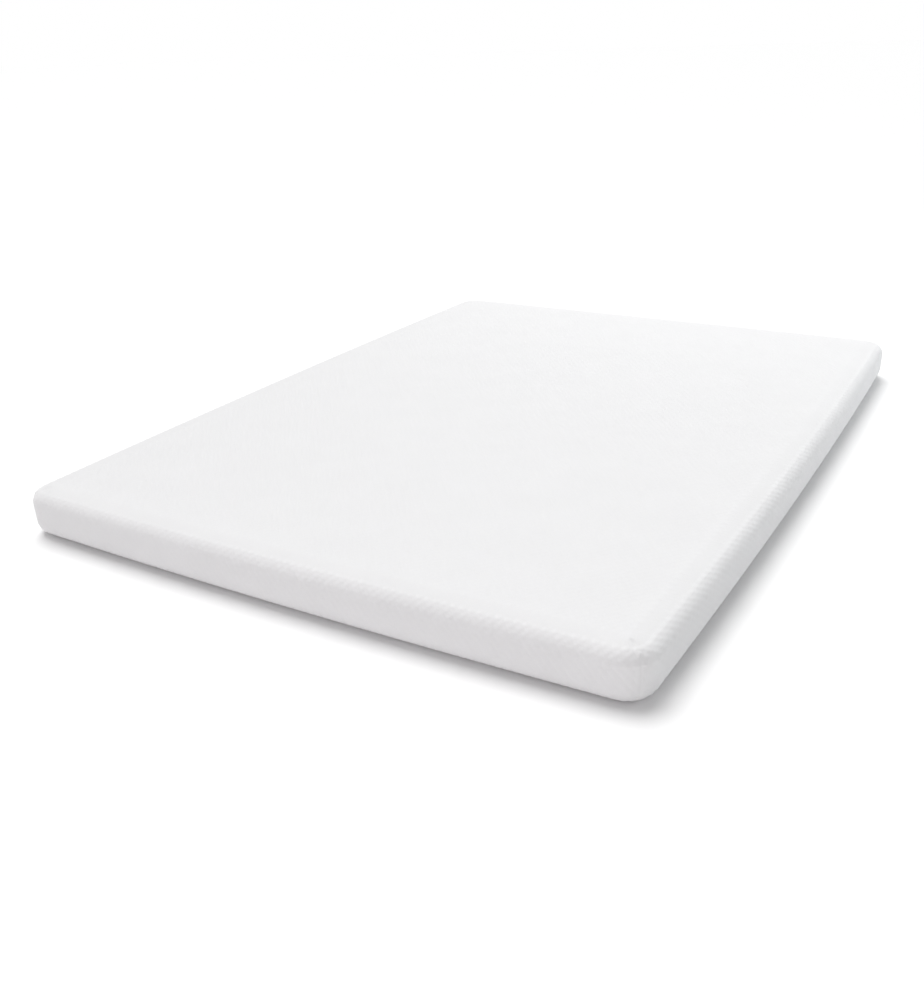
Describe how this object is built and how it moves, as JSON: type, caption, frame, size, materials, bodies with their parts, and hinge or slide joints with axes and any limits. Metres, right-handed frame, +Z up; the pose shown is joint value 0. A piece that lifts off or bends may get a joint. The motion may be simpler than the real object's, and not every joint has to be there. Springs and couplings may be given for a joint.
{
  "type": "memory foam mattress",
  "caption": "Thin memory foam mattress with rolled edges in a white diamond knit cover that closes with a zip across the head end.",
  "frame": {"origin": "under the middle of the mattress, on the surface that it lies on", "axes": "+X along the mattress from its foot end to its zipped head end, +Y across it, +Z up through its thickness"},
  "size_m": [1.9998, 1.5, 0.104],
  "materials": {
    "memory_foam": "matte",
    "glue": "satin",
    "support_foam": "matte",
    "liner_knit": "matte",
    "cover_knit": "matte",
    "base_cloth": "matte",
    "seam_thread": "matte",
    "label": "satin",
    "zip_tape": "matte",
    "zip_teeth": "satin",
    "zip_metal": "satin"
  },
  "bodies": {
    "mattress": {"memory_foam_layer": "memory_foam", "glue_film": "glue", "support_foam_core": "support_foam", "inner_liner": "liner_knit", "cover_top_and_sides": "cover_knit", "cover_base_panel": "base_cloth", "base_seam": "seam_thread", "corner_seam_foot_left": "seam_thread", "corner_seam_foot_right": "seam_thread", "corner_seam_head_left": "seam_thread", "corner_seam_head_right": "seam_thread", "care_label": "label", "zip_stitching": "seam_thread", "zip_tape_upper": "zip_tape", "zip_tape_lower": "zip_tape", "zip_coil_upper": "zip_teeth", "zip_coil_lower": "zip_teeth", "zip_top_stops": "zip_teeth", "zip_bottom_stop": "zip_teeth"},
    "slider": {"zip_slider": "zip_metal"},
    "pull_tab": {"zip_pull_tab": "zip_metal"}
  },
  "joints": [
    {"name": "zip_travel", "type": "slide", "parent": "mattress", "child": "slider", "axis": [0, -1, 0], "range_m": [0, 1.166]},
    {"name": "pull_tab_swing", "type": "hinge", "parent": "slider", "child": "pull_tab", "pos_m": [0.99795, 0.5835, 0.05], "axis": [0, 0, 1], "range_deg": [0, 175]}
  ]
}
